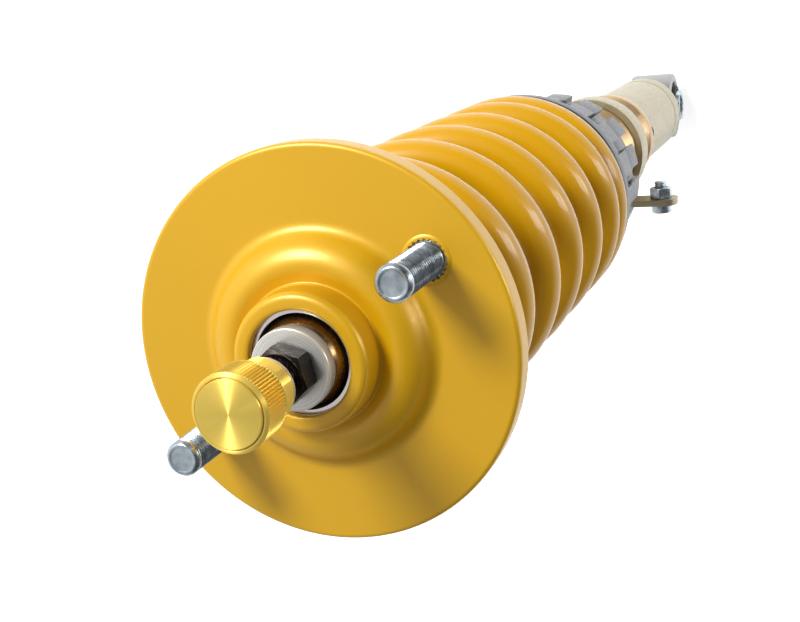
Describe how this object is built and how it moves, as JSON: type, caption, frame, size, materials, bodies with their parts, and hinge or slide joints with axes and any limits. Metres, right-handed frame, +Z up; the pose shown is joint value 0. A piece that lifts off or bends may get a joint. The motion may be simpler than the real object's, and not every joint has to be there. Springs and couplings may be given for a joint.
{
  "type": "coilover",
  "caption": "Suspension spring and damper unit with a round studded top mount, a click adjuster knob, a height-adjustable spring perch and an eye at the lower end.",
  "frame": {"origin": "centre of the top plate's flat upper face, which bolts against the car body", "axes": "+Z up along the damper's axis, out of the top mount; +X along the lower eye's bolt; the two studs lie 36 degrees from X"},
  "size_m": [0.11, 0.11, 0.614],
  "materials": {
    "plate_gold": "gold anodised, fine satin blast",
    "spring_yellow": "gloss yellow powder coat",
    "knob_gold": "bright gold anodised, turned",
    "zinc": "bright zinc plate",
    "bearing_steel": "ground and polished",
    "washer_steel": "turned steel",
    "black_oxide": "black oxide",
    "black_paint": "black anodised",
    "rubber": "matt moulded rubber",
    "perch_grey": "dark blue-grey hard anodised",
    "sleeve_gold": "pale gold anodised thread",
    "body_beige": "yellow zinc passivated steel",
    "eye_silver": "bead-blasted cast aluminium",
    "ptfe": "smooth low-friction plastic",
    "liner_black": "woven low-friction liner",
    "band_bronze": "bronze-filled low-friction band"
  },
  "bodies": {
    "root": {"top_plate": "plate_gold", "stud_a": "zinc", "stud_b": "zinc", "bearing_race": "bearing_steel", "bearing_circlip": "black_oxide"},
    "liner": {"bearing_liner": "liner_black"},
    "ball": {"bearing_ball": "bearing_steel"},
    "rod": {"top_washer": "washer_steel", "top_nut": "black_oxide", "adjuster_housing": "knob_gold", "lower_spacer": "zinc", "upper_spring_seat": "black_paint", "thrust_washer": "ptfe", "bump_stop_cup": "zinc", "bump_stop": "rubber", "piston_rod": "bearing_steel", "rebound_bumper": "rubber", "compression_shims": "washer_steel", "piston": "eye_silver", "piston_band": "band_bronze", "rebound_shims": "washer_steel", "piston_nut": "black_oxide"},
    "knob": {"adjuster_knob": "knob_gold"},
    "needle": {"adjuster_needle": "washer_steel"},
    "cylinder": {"damper_body": "body_beige", "gland_nut": "perch_grey", "wiper_seal": "rubber", "rod_seal": "rubber", "rod_guide": "eye_silver", "guide_o_ring": "rubber", "threaded_sleeve": "sleeve_gold", "sleeve_circlip": "black_oxide", "body_grub_screw": "black_oxide", "lower_eye": "eye_silver", "eye_bush": "rubber", "hose_bracket": "body_beige", "hose_bracket_bolt": "zinc", "hose_bracket_nut": "zinc"},
    "separator": {"floating_piston": "eye_silver", "floating_piston_o_ring": "rubber"},
    "perch": {"spring_perch": "perch_grey", "coil_spring": "spring_yellow"},
    "lock_ring": {"perch_lock_ring": "perch_grey"},
    "eye_core": {"eye_sleeve": "zinc"}
  },
  "joints": [
    {"name": "mount_tilt_x", "type": "hinge", "parent": "root", "child": "liner", "pos_m": [0, 0, 0.007], "axis": [1, 0, 0], "range_deg": [-6, 6]},
    {"name": "mount_tilt_y", "type": "hinge", "parent": "liner", "child": "ball", "pos_m": [0, 0, 0.007], "axis": [0, 1, 0], "range_deg": [-6, 6]},
    {"name": "mount_spin", "type": "hinge", "parent": "ball", "child": "rod", "pos_m": [0, 0, 0.007], "axis": [0, 0, 1], "continuous": true},
    {"name": "damper_stroke", "type": "slide", "parent": "rod", "child": "cylinder", "axis": [0, 0, 1], "range_m": [0, 0.055], "stiffness_N_per_m": 60000, "springref_m": -0.002, "deforming": ["coil_spring"]},
    {"name": "separator_travel", "type": "slide", "parent": "cylinder", "child": "separator", "axis": [0, 0, -1], "range_m": [0, 0.009]},
    {"name": "knob_turn", "type": "hinge", "parent": "rod", "child": "knob", "pos_m": [0, 0, 0.048], "axis": [0, 0, 1], "range_deg": [0, 810]},
    {"name": "needle_travel", "type": "slide", "parent": "rod", "child": "needle", "axis": [0, 0, -1], "range_m": [0, 0.002]},
    {"name": "perch_height", "type": "slide", "parent": "cylinder", "child": "perch", "axis": [0, 0, 1], "range_m": [-0.025, 0]},
    {"name": "lock_ring_height", "type": "slide", "parent": "cylinder", "child": "lock_ring", "axis": [0, 0, 1], "range_m": [-0.025, 0]},
    {"name": "eye_core_twist", "type": "hinge", "parent": "cylinder", "child": "eye_core", "pos_m": [0, 0, -0.54], "axis": [1, 0, 0], "range_deg": [-15, 15], "stiffness_Nm_per_rad": 2}
  ],
  "couplings": [
    {"joint": "separator_travel", "follows": "damper_stroke", "ratio": 0.15124},
    {"joint": "needle_travel", "follows": "knob_turn", "m_per_rad": 0.00011937},
    {"joint": "lock_ring_height", "follows": "perch_height", "ratio": 1}
  ]
}
